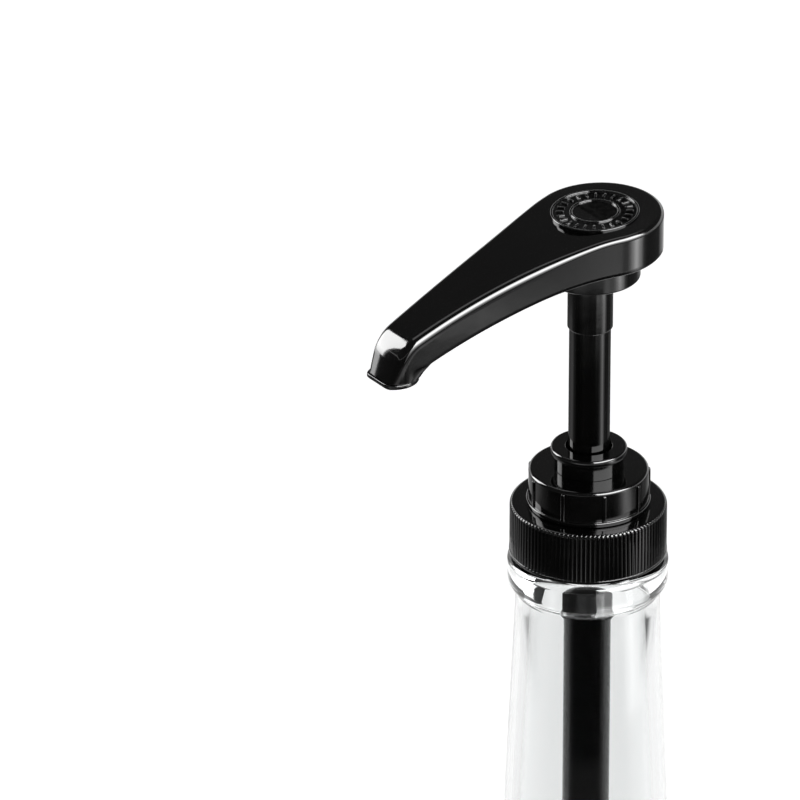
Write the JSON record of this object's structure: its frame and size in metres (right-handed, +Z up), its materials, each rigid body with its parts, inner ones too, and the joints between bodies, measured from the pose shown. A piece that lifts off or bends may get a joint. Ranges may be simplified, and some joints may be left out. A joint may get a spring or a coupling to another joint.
{
  "type": "syrup dispenser",
  "caption": "Plunger pump with a long drooping spout, screwed on a clear glass bottle; doses syrup or sauce when the head is pressed.",
  "frame": {"origin": "centre of the ring that the bottle stands on", "axes": "+Z up along the bottle and the pump stem, +X from the stem towards the spout"},
  "size_m": [0.0999, 0.076, 0.3762],
  "materials": {
    "clear_glass": "clear, polished",
    "black_plastic": "gloss",
    "seal_rubber": "matt",
    "inner_plastic": "matt",
    "valve_steel": "polished"
  },
  "bodies": {
    "bottle": {"bottle": "clear_glass"},
    "pump_body": {"pump_housing": "black_plastic", "chaplet": "black_plastic", "stem_guide": "black_plastic", "stem_wiper": "seal_rubber", "closure_gasket": "seal_rubber", "ball_cage": "inner_plastic", "dip_tube": "black_plastic", "return_spring": "valve_steel"},
    "closure": {"closure": "black_plastic"},
    "plunger": {"stem": "black_plastic", "piston_carrier": "inner_plastic", "piston_seal": "inner_plastic", "discharge_seat": "inner_plastic", "ball_stop": "inner_plastic"},
    "head": {"head_shell": "black_plastic", "head_base": "black_plastic", "spout_tube": "inner_plastic", "nozzle_tip": "black_plastic", "head_medallion": "black_plastic", "stem_sleeve": "black_plastic"},
    "suction_ball": {"suction_ball": "valve_steel"},
    "discharge_ball": {"discharge_ball": "valve_steel"}
  },
  "joints": [
    {"name": "pump_rise", "type": "slide", "parent": "bottle", "child": "pump_body", "axis": [0, 0, 1], "range_m": [0, 0.00397]},
    {"name": "closure_turn", "type": "hinge", "parent": "pump_body", "child": "closure", "pos_m": [0, 0, 0.292], "axis": [0, 0, 1], "range_deg": [0, 460]},
    {"name": "pump_stroke", "type": "slide", "parent": "pump_body", "child": "plunger", "axis": [0, 0, -1], "range_m": [0, 0.045], "stiffness_N_per_m": 250, "springref_m": -0.03, "deforming": ["return_spring"]},
    {"name": "head_swivel", "type": "hinge", "parent": "plunger", "child": "head", "pos_m": [0, 0, 0.365], "axis": [0, 0, 1], "continuous": true},
    {"name": "suction_ball_lift", "type": "slide", "parent": "pump_body", "child": "suction_ball", "axis": [0, 0, 1], "range_m": [0, 0.002]},
    {"name": "discharge_ball_lift", "type": "slide", "parent": "plunger", "child": "discharge_ball", "axis": [0, 0, 1], "range_m": [0, 0.0015]}
  ],
  "couplings": [
    {"joint": "closure_turn", "follows": "pump_rise", "rad_per_m": 1979}
  ]
}
